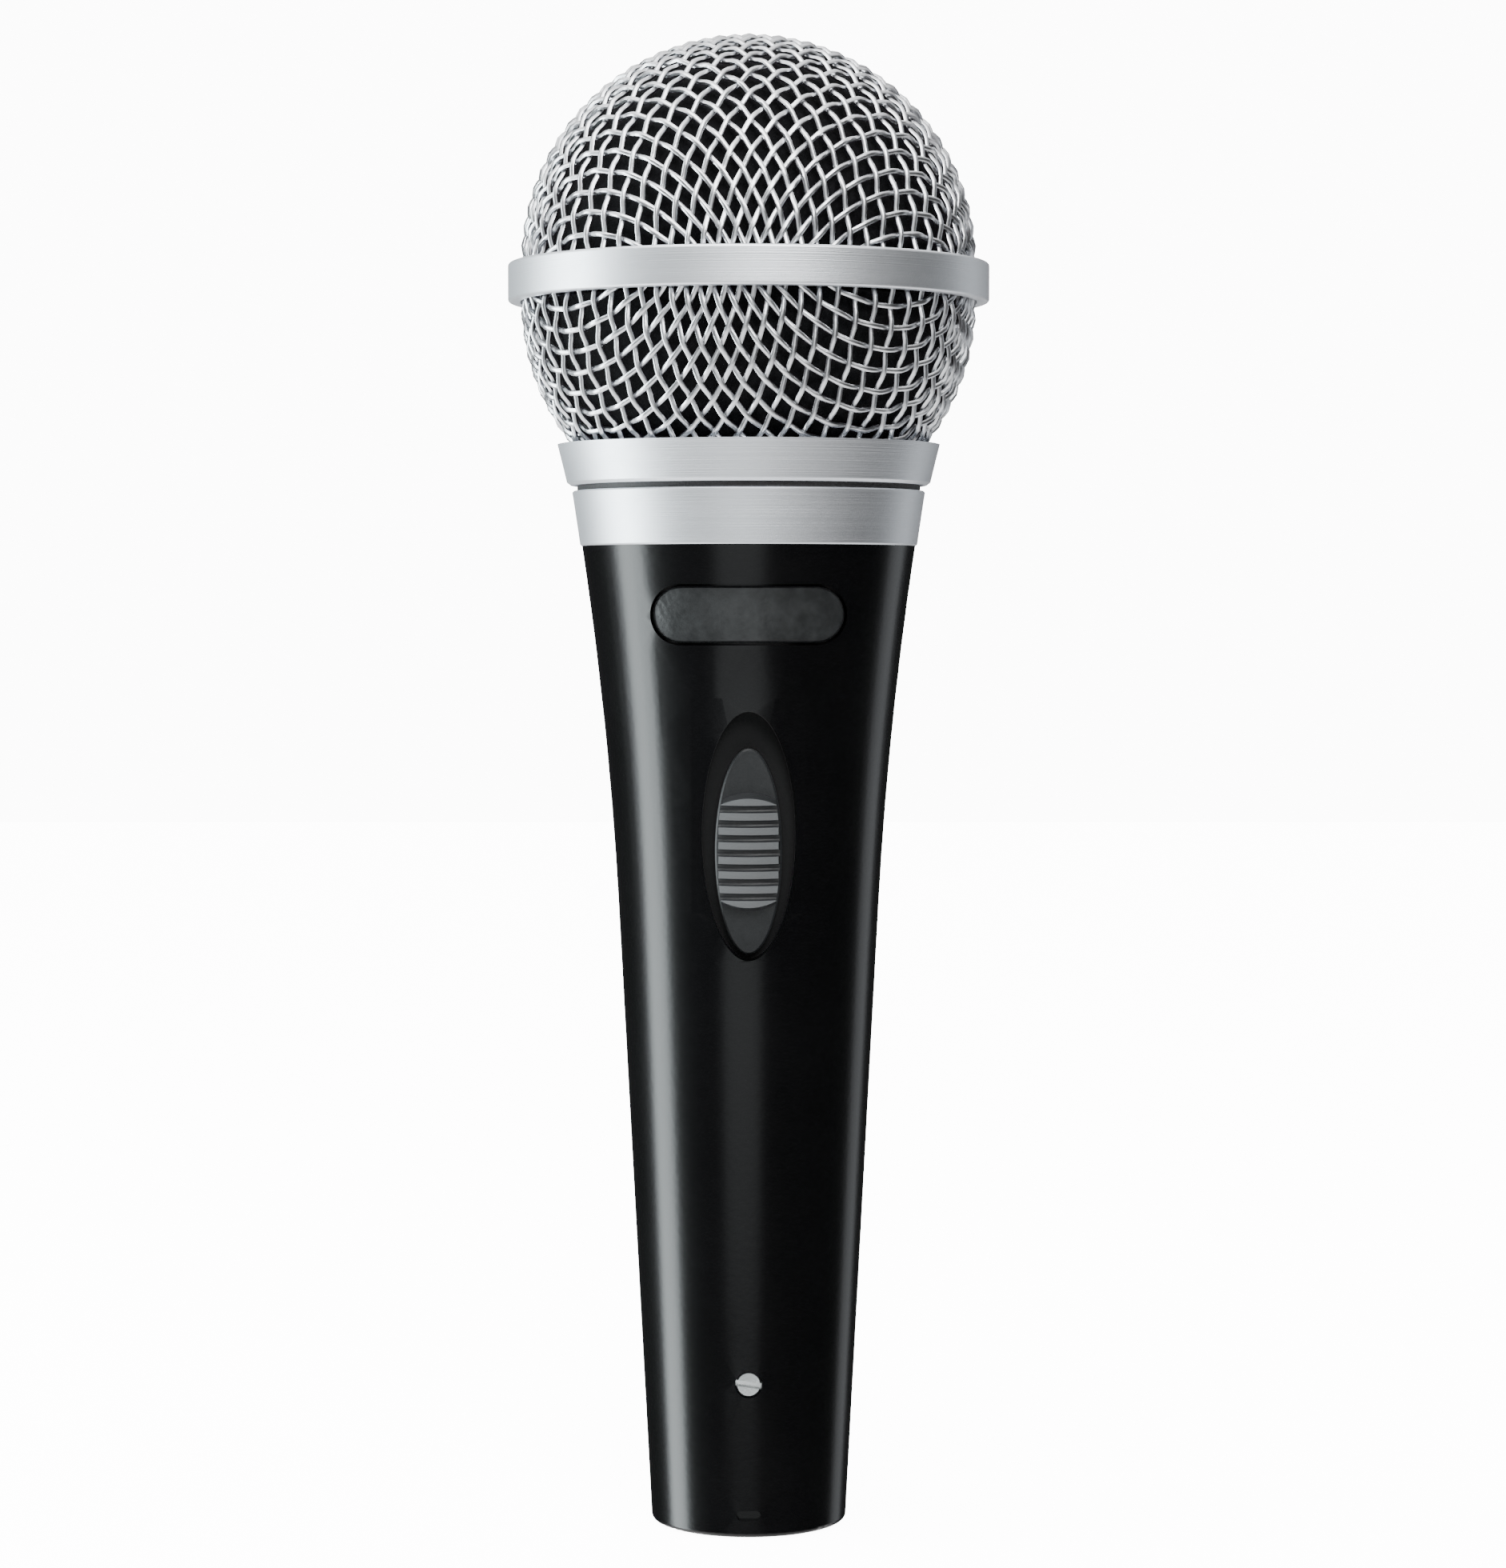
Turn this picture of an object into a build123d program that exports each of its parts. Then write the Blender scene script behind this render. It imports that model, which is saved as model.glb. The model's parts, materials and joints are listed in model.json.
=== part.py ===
from build123d import *
import os
from math import atan2, cos, degrees, radians, sin, sqrt

# A handheld moving-coil vocal microphone with a slide switch, in millimetres.
# +Z runs from the connector end up to the top of the ball grille. The origin is
# the centre of the connector end face, and the switch and nameplate face -Y.

# driving dimensions

# Stack of the outside, from the connector end up
handle_length = 113.7
neck_ring_height = 6.35
gasket_height = 0.65
collar_height = 4.75
bowl_height = 16.35
band_height = 4.45
mesh_radius = 26.4          # outside of the woven ball, where the band grips it

# Handle
rear_radius = 11.35
flare_start_radius = 15.15
flare_height = 41.7         # the trumpet-shaped top of the handle
handle_top_radius = 19.35
wall = 2.4
rear_edge_radius = 0.6

# Threaded neck and what slides over it
neck_radius = 18.6
neck_wall = 2.6
neck_ledge = 1.6            # step at the foot of the neck's bore
thread_pitch = 1.5
thread_depth = 0.55
neck_top_recess = 0.2       # the neck ends this far under the top of the collar
neck_ring_proud = 0.2
collar_step = 0.52          # the collar stands out this far past the neck ring
collar_slope = 0.245        # radius gained per millimetre of collar height
silver_edge = 0.35          # chamfer on the edges of the two silver rings

# Grille
mesh_thickness = 0.9
band_thickness = 1.45
band_edge = 0.35            # rounding of its two outer edges
band_rib_height = 0.6       # the rib between the two halves of the ball
band_rib_depth = 0.8
collar_lip = 0.6
mesh_skirt = 1.2            # the straight edge of the bowl inside the collar
foam_thickness = 2.4

# Connector end
mouth_radius = 8.25
mouth_depth = 4.1
socket_radius = 8.1
socket_depth = 15.6         # from the end face to the face of the insert
insert_height = 6.7
insert_ledge = 0.9
pin_radius = 1.2
pin_shoulder_radius = 1.5   # the knurled length that grips the insert
pin_circle_radius = 4.3
pin_tip_depth = 4.6
pin_spread_angle = 62.0     # pins 1 and 2 stand this far either side of the latch
solder_cup_height = 4.6
mouth_lip = 0.5
insert_ledge_height = 2.0
cavity_run_in = 5.0          # cone between the insert's ledge and the long cavity
mount_run_in = 12.0          # cone below the shock mount
lock_screw_sunk = 0.25
lock_screw_edge = 0.2
lock_screw_turn = 8.0        # lean of its slot, in degrees
lock_slot_width = 0.7
lock_slot_depth = 1.2
tab_thickness = 0.3
tab_width = 3.4
tab_leg = 3.6
tab_overhang = 0.9
latch_width = 2.8
latch_height = 1.2
latch_z = 2.6
latch_catch_depth = 0.8      # notch inside the mouth that a plug's latch drops into
latch_dent_depth = 0.9       # dent that marks it on the outside
lock_screw_radius = 1.5
lock_screw_z = 17.9
lock_screw_grip = 2.6       # thread length inside the insert

# Nameplate
nameplate_drop = 7.9        # centre, below the top of the handle
nameplate_width = 21.6
nameplate_height = 6.3
nameplate_thickness = 0.6
nameplate_sink = 0.42
nameplate_bevel = 0.2
nameplate_gap = 0.3

# Slide switch
switch_drop = 32.9          # centre of its recess, below the top of the handle
recess_length = 28.3
recess_width = 10.6
recess_depth = 1.9
boss_thickness = 2.2
boss_width = 13.0
knob_length = 23.4
knob_width = 7.6
knob_plate_thickness = 1.2
knob_edge = 0.2
knob_low_gap = 0.65
knob_high_gap = 0.65
grip_length = 13.7
grip_rise = 0.8             # crown of the ribbed grip, above the handle's front line
grip_root = 0.3              # how far the grip reaches down into the plate
grip_inset = 0.06
grip_end_sag = 1.3          # bow of the grip's two ends
grip_draft = 22.0           # lean of the grip's sides, in degrees
grip_crown_radius = 10.5
grip_ribs = 6
stem_slot_gap = 0.4          # room beside the stem where it passes the wall
boss_skin = 0.5              # left over the blind screw holes
switch_head_height = 1.1
switch_slot_width = 0.5
lug_thickness = 0.6
lug_width = 1.6
lug_head_height = 0.5
slider_block_height = 2.0
contact_width = 1.0
contact_inset = 0.6
rib_pitch = 1.66
rib_groove_radius = 0.42
stem_width = 2.0
stem_length = 2.6
stem_reach = 1.1            # how far the lever's stem enters the knob
switch_plate_thickness = 0.6
switch_plate_width = 7.0
switch_screw_radius = 1.0
switch_screw_head = 1.8
switch_body_depth = 5.0
switch_body_width = 7.0
switch_wall = 0.7
slider_block_length = 6.0
lug_pitch = 3.6
lug_spacing = 3.2
lug_length = 5.0

# Cartridge
mount_room = 3.5            # radial room for the rubber between the neck and the cartridge
cartridge_wall = 1.0
cartridge_drop = 9.5        # its base, below the top of the neck
cartridge_rise = 6.5        # its housing, above the top of the neck
cap_height = 6.5
cap_plate = 1.4
cap_hole_radius = 0.95
cloth_thickness = 0.3
felt_thickness = 1.0
magnet_step = 0.6           # the pole piece overhangs the magnet by this much
magnet_height = 5.2
pole_height = 2.0
cup_floor = 2.4
cup_wall = 2.25
carrier_wall = 2.25
coil_thickness = 0.3
coil_gap = 0.3              # air on each side of the coil
coil_height = 3.7
dome_height = 1.7
film = 0.12                 # thickness of the diaphragm's parts
film_lift = 1.3             # air between the pole piece and the diaphragm
film_margin = 0.95          # width of the film's clamped edge
surround_roll = 0.8
clamp_ring_height = 1.2
rear_slots = 8
rear_slot_height = 2.0
rear_slot_angle = 26.0
board_thickness = 1.2
board_step = 2.5
cartridge_lug_length = 2.0
cartridge_lug_x = 3.0

# Shock mount
mount_depth = 6.0
mount_flange_height = 1.2
mount_flange_reach = 1.2
mount_sleeve = 1.3
mount_web = 1.2
mount_sleeve_rise = 2.2

# Leads
lead_radius = 0.55
lead_bend = 2.5

# Clearances
thread_clearance = 0.1
slip = 0.05
running_gap = 0.15

# heights and radii worked out from them

ring_top_z = handle_length + neck_ring_height
collar_z = ring_top_z + gasket_height
collar_top_z = collar_z + collar_height
band_z = collar_top_z + bowl_height
band_top_z = band_z + band_height
band_middle_z = band_z + band_height / 2
neck_top_z = collar_top_z - neck_top_recess

flare_start_z = handle_length - flare_height
taper = (flare_start_radius - rear_radius) / flare_start_z
ring_slope = (handle_top_radius - flare_start_radius) / flare_height * 2 - taper
band_radius = mesh_radius + band_thickness

neck_ring_bottom_radius = handle_top_radius + neck_ring_proud
neck_ring_top_radius = neck_ring_bottom_radius + ring_slope * neck_ring_height
collar_bottom_radius = neck_ring_top_radius + collar_step
collar_top_radius = collar_bottom_radius + collar_slope * collar_height
mesh_foot_radius = collar_top_radius - collar_lip - slip

insert_top_z = socket_depth + insert_height
switch_z = handle_length - switch_drop
nameplate_z = handle_length - nameplate_drop

knob_rest = -(recess_length - knob_length) / 2 + knob_low_gap
switch_travel = recess_length - knob_length - knob_low_gap - knob_high_gap
boss_depth = recess_depth + boss_thickness

neck_bore_radius = neck_radius - neck_wall
neck_ledge_radius = neck_bore_radius - neck_ledge
cartridge_radius = neck_bore_radius - mount_room
cartridge_z = neck_top_z - cartridge_drop
housing_top_z = neck_top_z + cartridge_rise
housing_inner_radius = cartridge_radius - cartridge_wall
felt_z = cartridge_z + cartridge_wall
cup_z = felt_z + felt_thickness
magnet_z = cup_z + cup_floor
pole_z = magnet_z + magnet_height
pole_top_z = pole_z + pole_height
film_edge_radius = housing_inner_radius - slip
cup_radius = film_edge_radius - carrier_wall - slip
cup_inner_radius = cup_radius - cup_wall
coil_outer_radius = cup_inner_radius - coil_gap
coil_radius = coil_outer_radius - coil_thickness
pole_radius = coil_radius - coil_gap
magnet_radius = pole_radius - magnet_step
board_radius = cartridge_radius - board_step
film_z = pole_top_z + film_lift
surround_outer_radius = film_edge_radius - film_margin


def flare_radius(z):
    """Outside radius of the flare: one arc that leaves the lower cone tangentially."""
    rise_r = handle_top_radius - flare_start_radius
    rise_z = handle_length - flare_start_z
    length = sqrt(1 + taper * taper)
    across = (rise_r - taper * rise_z) / length
    radius = (rise_r * rise_r + rise_z * rise_z) / (2 * across)
    centre_r = flare_start_radius + radius / length
    centre_z = flare_start_z - radius * taper / length
    return centre_r - sqrt(radius * radius - (z - centre_z) ** 2)


def body_radius(z):
    """Outside radius of the handle at height z."""
    if z < flare_start_z:
        return rear_radius + taper * z
    return flare_radius(z)


def lathe(edges):
    """Solid turned about Z from a closed outline of (radius, height) edges."""
    return revolve(Plane.XZ * make_face(edges), Axis.Z)


def turned(*points):
    """Solid turned about Z from a closed outline of (radius, height) points."""
    return lathe(Polyline(*points, close=True).edges())


def ring(inner, outer, low, high):
    """Plain ring, or a disc where inner is 0."""
    return turned((inner, low), (outer, low), (outer, high), (inner, high))


def flare_arc(low, high, inset):
    """Arc of the flare between two heights, moved inwards by inset."""
    points = [(flare_radius(z) - inset, z) for z in (low, (low + high) / 2, high)]
    return ThreePointArc(*points)


def dome_shell(outer, inner, centre_z, low):
    """Half ball of a constant wall, with a straight skirt down to low."""
    outside = CenterArc((0, centre_z), outer, 0, 90)
    inside = CenterArc((0, centre_z), inner, 0, 90)
    return lathe([
        Line((inner, low), (outer, low)),
        Line((outer, low), (outer, centre_z)),
        outside,
        Line((0, centre_z + outer), (0, centre_z + inner)),
        inside,
        Line((inner, centre_z), (inner, low)),
    ])


def bowl_shell(outset_outer, outset_inner, foot_z, top_z):
    """Lower half of the ball: an arc that meets the band upright, and skirts at both ends."""
    outer, inner = mesh_radius - outset_outer, mesh_radius - outset_inner
    foot_outer = mesh_foot_radius - outset_outer
    foot_inner = mesh_foot_radius - outset_inner
    return lathe([
        Line((foot_inner, foot_z), (foot_outer, foot_z)),
        Line((foot_outer, foot_z), (foot_outer, collar_top_z)),
        TangentArc((outer, band_z), (foot_outer, collar_top_z), tangent=(0, -1)),
        Line((outer, band_z), (outer, top_z)),
        Line((outer, top_z), (inner, top_z)),
        Line((inner, top_z), (inner, band_z)),
        TangentArc((inner, band_z), (foot_inner, collar_top_z), tangent=(0, -1)),
        Line((foot_inner, collar_top_z), (foot_inner, foot_z)),
    ])


# The switch lies along the handle's front line. In its own plane, x is across,
# y runs up the slide and z points out of the handle.
low_end = body_radius(switch_z - recess_length / 2)
high_end = body_radius(switch_z + recess_length / 2)
switch_tilt = atan2(high_end - low_end, recess_length)
switch_plane = Plane(
    origin=(0, -body_radius(switch_z), switch_z),
    x_dir=(1, 0, 0),
    z_dir=(0, -cos(switch_tilt), -sin(switch_tilt)),
)


def on_switch(shape, x=0, y=0, z=0):
    """Shape placed in the switch's plane."""
    return switch_plane * Pos(x, y, z) * shape


def block(width, length, low, high, x=0, y=0):
    """Box in the switch's plane between two depths."""
    return on_switch(Box(width, length, high - low), x, y, (low + high) / 2)


# handle and neck


def handle_outside():
    shoulder = [
        Line((0, 0), (rear_radius, 0)),
        Line((rear_radius, 0), (flare_start_radius, flare_start_z)),
        flare_arc(flare_start_z, handle_length, 0),
        Line((handle_top_radius, handle_length), (neck_radius, handle_length)),
        Line((neck_radius, handle_length), (neck_radius, neck_top_z)),
        Line((neck_radius, neck_top_z), (0, neck_top_z)),
        Line((0, neck_top_z), (0, 0)),
    ]
    body = lathe(shoulder)
    rear = body.edges().filter_by(GeomType.CIRCLE).sort_by(Axis.Z)[0]
    return fillet(rear, rear_edge_radius)


def handle_cavity():
    """Everything inside the handle: socket, insert seat, ledge, long cavity and neck bore."""
    ledge_radius = socket_radius - insert_ledge
    ledge_top_z = insert_top_z + insert_ledge_height
    cavity_z = ledge_top_z + cavity_run_in
    cavity_radius = body_radius(cavity_z) - wall
    top_radius = min(handle_top_radius - wall, neck_ledge_radius)
    mount_z = neck_top_z - mount_depth
    lip = mouth_lip
    return lathe([
        Line((0, 0), (mouth_radius + lip, 0)),
        Line((mouth_radius + lip, 0), (mouth_radius, lip)),
        Line((mouth_radius, lip), (mouth_radius, mouth_depth)),
        Line((mouth_radius, mouth_depth), (socket_radius, mouth_depth + lip)),
        Line((socket_radius, mouth_depth + lip), (socket_radius, insert_top_z)),
        Line((socket_radius, insert_top_z), (ledge_radius, insert_top_z)),
        Line((ledge_radius, insert_top_z), (ledge_radius, ledge_top_z)),
        Line((ledge_radius, ledge_top_z), (cavity_radius, cavity_z)),
        Line((cavity_radius, cavity_z), (flare_start_radius - wall, flare_start_z)),
        Line((flare_start_radius - wall, flare_start_z), (top_radius, mount_z - mount_run_in)),
        Line((top_radius, mount_z - mount_run_in), (top_radius, mount_z)),
        Line((top_radius, mount_z), (neck_bore_radius, mount_z)),
        Line((neck_bore_radius, mount_z), (neck_bore_radius, neck_top_z)),
        Line((neck_bore_radius, neck_top_z), (0, neck_top_z)),
        Line((0, neck_top_z), (0, 0)),
    ])


def thread_grooves():
    """V grooves of the neck's thread, as rings one pitch apart."""
    first = ring_top_z + gasket_height + thread_pitch / 2
    count = int((neck_top_z - first) / thread_pitch)
    grooves = []
    for i in range(count):
        z = first + (i + 0.5) * thread_pitch
        half = 0.42 * thread_pitch
        outside = neck_radius + 1
        slope = half / thread_depth
        grooves.append(turned(
            (neck_radius - thread_depth, z),
            (outside, z - half - slope),
            (outside, z + half + slope),
        ))
    return grooves


def front_plane(z):
    """Plane through the axis at height z that faces the front."""
    return Plane(origin=(0, 0, z), x_dir=(1, 0, 0), z_dir=(0, -1, 0))


def slot_prism(width, height, z):
    """Round-ended bar that runs out through the front of the handle at height z."""
    return extrude(front_plane(z) * SlotOverall(width, height), 3 * handle_top_radius)


def nameplate_skin(outer_inset, inner_inset):
    """Band of the handle's skin that holds the nameplate, between two insets."""
    low = nameplate_z - nameplate_height
    high = min(nameplate_z + nameplate_height, handle_length - 0.2)
    outer, inner = flare_arc(low, high, outer_inset), flare_arc(low, high, inner_inset)
    return lathe([outer, Line(outer @ 1, inner @ 1), inner, Line(inner @ 0, outer @ 0)])


def make_handle():
    body = handle_outside() - handle_cavity()
    boss = block(boss_width, recess_length + 3, -boss_depth, 0) & handle_outside()
    body = body + boss
    recess = extrude(Ellipse(recess_width / 2, recess_length / 2), 3 * recess_depth)
    body -= on_switch(recess, z=-recess_depth)
    slot_length = stem_length + switch_travel + 2 * running_gap + stem_slot_gap
    body -= block(
        stem_width + 2 * stem_slot_gap, slot_length, -boss_depth - 1, 0, y=knob_rest + switch_travel / 2
    )
    for y in screw_places():
        hole_depth = boss_thickness - boss_skin
        hole = Cylinder(switch_screw_radius + slip, hole_depth)
        body -= on_switch(hole, y=y, z=-boss_depth + hole_depth / 2)
    for groove in thread_grooves():
        body -= groove
    pocket = slot_prism(
        nameplate_width + 2 * nameplate_gap, nameplate_height + 2 * nameplate_gap, nameplate_z
    )
    body -= pocket & nameplate_skin(-1, nameplate_sink + nameplate_thickness)
    body -= extrude(front_plane(lock_screw_z) * Circle(lock_screw_radius + slip), 2 * rear_radius)
    bar = SlotOverall(latch_width, latch_height)
    body -= extrude(front_plane(latch_z) * bar, mouth_radius + latch_catch_depth)
    dent_start = body_radius(latch_z) - latch_dent_depth
    body -= extrude(front_plane(latch_z).offset(dent_start) * bar, rear_radius)
    return body


def screw_places():
    """Where the switch's two screws stand, along the slide."""
    reach = switch_body_length() / 2 + switch_screw_head + 0.6
    middle = knob_rest + switch_travel / 2
    return (middle - reach, middle + reach)


def make_neck_ring():
    body = turned(
        (neck_radius + slip, handle_length),
        (neck_ring_bottom_radius, handle_length),
        (neck_ring_top_radius, ring_top_z),
        (neck_radius + slip, ring_top_z),
    )
    outside = body.edges().filter_by(GeomType.CIRCLE).sort_by(SortBy.RADIUS)[-2:]
    return chamfer(outside, silver_edge / 2)


def make_nameplate():
    prism = slot_prism(nameplate_width, nameplate_height, nameplate_z)
    plate = prism & nameplate_skin(nameplate_sink, nameplate_sink + nameplate_thickness)
    front = plate.faces().sort_by(Axis.Y)[0]
    return chamfer(front.edges(), nameplate_bevel)


# connector


def pin_place(number):
    """Centre of a pin. The latch is at -Y, between pins 1 and 2."""
    angle = {1: -90 - pin_spread_angle, 2: -90 + pin_spread_angle, 3: 90}[number]
    return (
        pin_circle_radius * cos(radians(angle)),
        pin_circle_radius * sin(radians(angle)),
    )


def make_insert():
    body = ring(0, socket_radius - slip, socket_depth, insert_top_z)
    for number in (1, 2, 3):
        x, y = pin_place(number)
        middle = socket_depth + insert_height / 2
        body -= Pos(x, y, middle) * Cylinder(pin_shoulder_radius, insert_height)
    thread_start = socket_radius - lock_screw_grip
    hole = extrude(front_plane(lock_screw_z) * Circle(lock_screw_radius), 2 * socket_radius)
    return body - hole.intersect(ring(thread_start, rear_radius, socket_depth, insert_top_z))


def make_pin(number):
    x, y = pin_place(number)
    top_z = insert_top_z + solder_cup_height
    pin = ring(0, pin_radius, pin_tip_depth, top_z)
    pin += ring(0, pin_shoulder_radius, socket_depth, insert_top_z)
    tip = pin.edges().filter_by(GeomType.CIRCLE).sort_by(Axis.Z)[0]
    pin = fillet(tip, 0.6 * pin_radius)
    cup_depth = solder_cup_height - 1.0
    cup = Pos(0, 0, top_z - cup_depth / 2) * Cylinder(0.65 * pin_radius, cup_depth)
    side = Pos(0, pin_radius, top_z - cup_depth / 2) * Box(
        2 * pin_radius, 2 * pin_radius, cup_depth
    )
    return Pos(x, y, 0) * (pin - cup - side)


def make_lock_screw():
    """Slotted set screw, held in the insert, that backs out into the handle's hole."""
    start = socket_radius - lock_screw_grip + slip
    head = body_radius(lock_screw_z) - lock_screw_sunk
    shank = extrude(front_plane(lock_screw_z).offset(start) * Circle(lock_screw_radius), head - start)
    face = shank.edges().filter_by(GeomType.CIRCLE).sort_by(Axis.Y)[0]
    shank = chamfer(face, lock_screw_edge)
    slot = Pos(0, -head, lock_screw_z) * Rot(0, lock_screw_turn, 0) * Box(
        3 * lock_screw_radius, 2 * lock_slot_depth, lock_slot_width
    )
    return shank - slot


def make_ground_tab():
    """Strip that ties pin 1 to the handle: a flat foot on the insert and an upright leg."""
    x, y = pin_place(1)
    thickness, width = tab_thickness, tab_width
    leg_outer = socket_radius - insert_ledge - slip
    turn = degrees(atan2(y, x))
    foot_start = pin_circle_radius - pin_radius - tab_overhang
    foot = Pos((foot_start + leg_outer) / 2, 0, insert_top_z + thickness / 2) * Box(
        leg_outer - foot_start, width, thickness
    )
    leg = Pos(leg_outer - thickness / 2, 0, insert_top_z + tab_leg / 2) * Box(
        thickness, width, tab_leg
    )
    tab = Rot(0, 0, turn) * (foot + leg)
    tab = tab & ring(0, leg_outer, insert_top_z, insert_top_z + 2 * tab_leg)
    return tab - Pos(x, y, insert_top_z) * Cylinder(pin_radius + slip, 3)


# slide switch


def knob_crown():
    """Long cylinder whose top is the crown of the grip."""
    return Pos(0, 0, grip_rise - grip_crown_radius) * Rot(90, 0, 0) * Cylinder(
        grip_crown_radius, 2 * knob_length
    )


def grip_outline():
    """Outline of the ribbed grip: straight sides and bowed ends."""
    half, side = grip_length / 2, grip_length / 2 - grip_end_sag
    x = knob_width / 2
    lower = ThreePointArc((-x, -side), (0, -half), (x, -side))
    upper = ThreePointArc((x, side), (0, half), (-x, side))
    return make_face([lower, Line(lower @ 1, upper @ 0), upper, Line(upper @ 1, lower @ 0)])


def make_knob():
    base = -recess_depth + running_gap
    plate_top = base + knob_plate_thickness
    plate = extrude(Ellipse(knob_width / 2, knob_length / 2), knob_plate_thickness)
    plate = Pos(0, 0, base) * plate
    rim = plate.edges().sort_by(Axis.Z)[-1]
    plate = chamfer(rim, knob_edge)
    root = plate_top - grip_root
    inset = knob_edge + grip_inset
    inside = Ellipse(knob_width / 2 - inset, knob_length / 2 - inset)
    rise = grip_rise - root
    grip = extrude(grip_outline(), rise, taper=grip_draft) & extrude(inside, rise)
    grip = Pos(0, 0, root) * grip & knob_crown()
    for i in range(grip_ribs + 1):
        groove = Rot(90, 0, 0) * Torus(grip_crown_radius, rib_groove_radius)
        place = Pos(0, (i - grip_ribs / 2) * rib_pitch, grip_rise - grip_crown_radius)
        grip -= place * groove
    socket = Pos(0, 0, base + stem_reach / 2) * Box(
        stem_width + 2 * slip, stem_length + 2 * slip, stem_reach + 0.2
    )
    return on_switch(plate + grip - socket, y=knob_rest)


def switch_body_length():
    return slider_block_length + switch_travel + 2 * running_gap + 2 * switch_wall


def switch_body_middle():
    return knob_rest + switch_travel / 2


def make_switch_plate():
    reach = screw_places()[1] - switch_body_middle() + switch_screw_head + 0.5
    top = -boss_depth
    plate = block(
        switch_plate_width, 2 * reach, top - switch_plate_thickness, top, y=switch_body_middle()
    )
    window = stem_length + switch_travel + 2 * running_gap
    plate -= block(
        stem_width + stem_slot_gap, window, top - 2, top + 1, y=switch_body_middle()
    )
    for y in screw_places():
        plate -= on_switch(Cylinder(switch_screw_radius + slip, 3), y=y, z=top)
    return plate


def make_switch_screws():
    seat = -boss_depth - switch_plate_thickness
    screws = []
    for y in screw_places():
        reach = switch_plate_thickness + boss_thickness - boss_skin - running_gap
        shank = on_switch(Cylinder(switch_screw_radius, reach), y=y, z=seat + reach / 2)
        head = Cylinder(switch_screw_head, switch_head_height)
        head = on_switch(head, y=y, z=seat - switch_head_height / 2)
        slot = block(
            3 * switch_screw_head, switch_slot_width, seat - 2 * switch_head_height,
            seat - switch_head_height / 2, y=y,
        )
        screws.append(shank + head - slot)
    return Compound(children=screws)


def make_switch_housing():
    top = -boss_depth - switch_plate_thickness
    length = switch_body_length()
    body = block(switch_body_width, length, top - switch_body_depth, top, y=switch_body_middle())
    hollow = block(
        switch_body_width - 2 * switch_wall, length - 2 * switch_wall,
        top - switch_body_depth + switch_wall, top + 1, y=switch_body_middle(),
    )
    body -= hollow
    for x, y in lug_places():
        body -= block(lug_thickness, lug_width, top - switch_body_depth - 1, top, x=x, y=y)
    return body


def lug_places():
    """The six terminals: two columns of three."""
    return [
        (side * lug_spacing / 2, switch_body_middle() + row * lug_pitch)
        for side in (-1, 1) for row in (-1, 0, 1)
    ]


def lug_tip_depth():
    return -boss_depth - switch_plate_thickness - switch_body_depth - lug_length


def lug_head_depth():
    floor = -boss_depth - switch_plate_thickness - switch_body_depth + switch_wall
    return floor + lug_head_height


def make_switch_lugs():
    head = lug_head_depth()
    lugs = [
        block(lug_thickness, lug_width, lug_tip_depth(), head, x=x, y=y)
        for x, y in lug_places()
    ]
    return Compound(children=lugs)


def make_switch_lever():
    """Slider block inside the switch, with the stem that the knob pushes."""
    top = -boss_depth - switch_plate_thickness - running_gap
    width = switch_body_width - 2 * switch_wall - 2 * running_gap
    carrier = block(width, slider_block_length, top - slider_block_height, top, y=knob_rest)
    stem_top = -recess_depth + running_gap + stem_reach
    return carrier + block(stem_width, stem_length, top - 0.5, stem_top, y=knob_rest)


def make_switch_contacts():
    """Two bridging contacts under the slider block."""
    top = -boss_depth - switch_plate_thickness - running_gap - slider_block_height
    head = lug_head_depth()
    contacts = [
        block(
            contact_width, slider_block_length - contact_inset, head + running_gap, top,
            x=side * lug_spacing / 2, y=knob_rest,
        )
        for side in (-1, 1)
    ]
    return Compound(children=contacts)


# cartridge


def make_cartridge_housing():
    body = turned(
        (0, cartridge_z), (cartridge_radius, cartridge_z), (cartridge_radius, housing_top_z),
        (housing_inner_radius, housing_top_z), (housing_inner_radius, felt_z), (0, felt_z),
    )
    slot_z = neck_top_z + mount_sleeve_rise + 0.6 + rear_slot_height / 2
    for i in range(rear_slots):
        width = 2 * cartridge_radius * sin(radians(rear_slot_angle / 2))
        cutter = Pos(cartridge_radius, 0, slot_z) * Box(
            2.6 * cartridge_wall, width, rear_slot_height
        )
        body -= Rot(0, 0, (i + 0.5) * 360 / rear_slots) * cutter
    for side in (-1, 1):
        lead_hole = Cylinder(0.5 * cartridge_wall, 3 * cartridge_wall)
        body -= Pos(side * cartridge_lug_x, 0, cartridge_z) * lead_hole
    return body


def make_shock_mount():
    sleeve_inner = cartridge_radius + slip
    sleeve_outer = sleeve_inner + mount_sleeve
    outer = neck_bore_radius - slip
    wall_inner = max(outer - mount_web, sleeve_outer + 0.3)
    low_z = neck_top_z - mount_depth + slip
    web_z = low_z + mount_web
    flange_z = neck_top_z + slip
    flange_top_z = flange_z + mount_flange_height
    return turned(
        (sleeve_inner, low_z), (outer, low_z), (outer, flange_z),
        (neck_bore_radius + mount_flange_reach, flange_z),
        (neck_bore_radius + mount_flange_reach, flange_top_z),
        (wall_inner, flange_top_z), (wall_inner, web_z), (sleeve_outer, web_z),
        (sleeve_outer, neck_top_z + mount_sleeve_rise),
        (sleeve_inner, neck_top_z + mount_sleeve_rise),
    )


def make_magnet_cup():
    return turned(
        (0, cup_z), (cup_radius, cup_z), (cup_radius, pole_top_z),
        (cup_inner_radius, pole_top_z), (cup_inner_radius, magnet_z), (0, magnet_z),
    )


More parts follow.
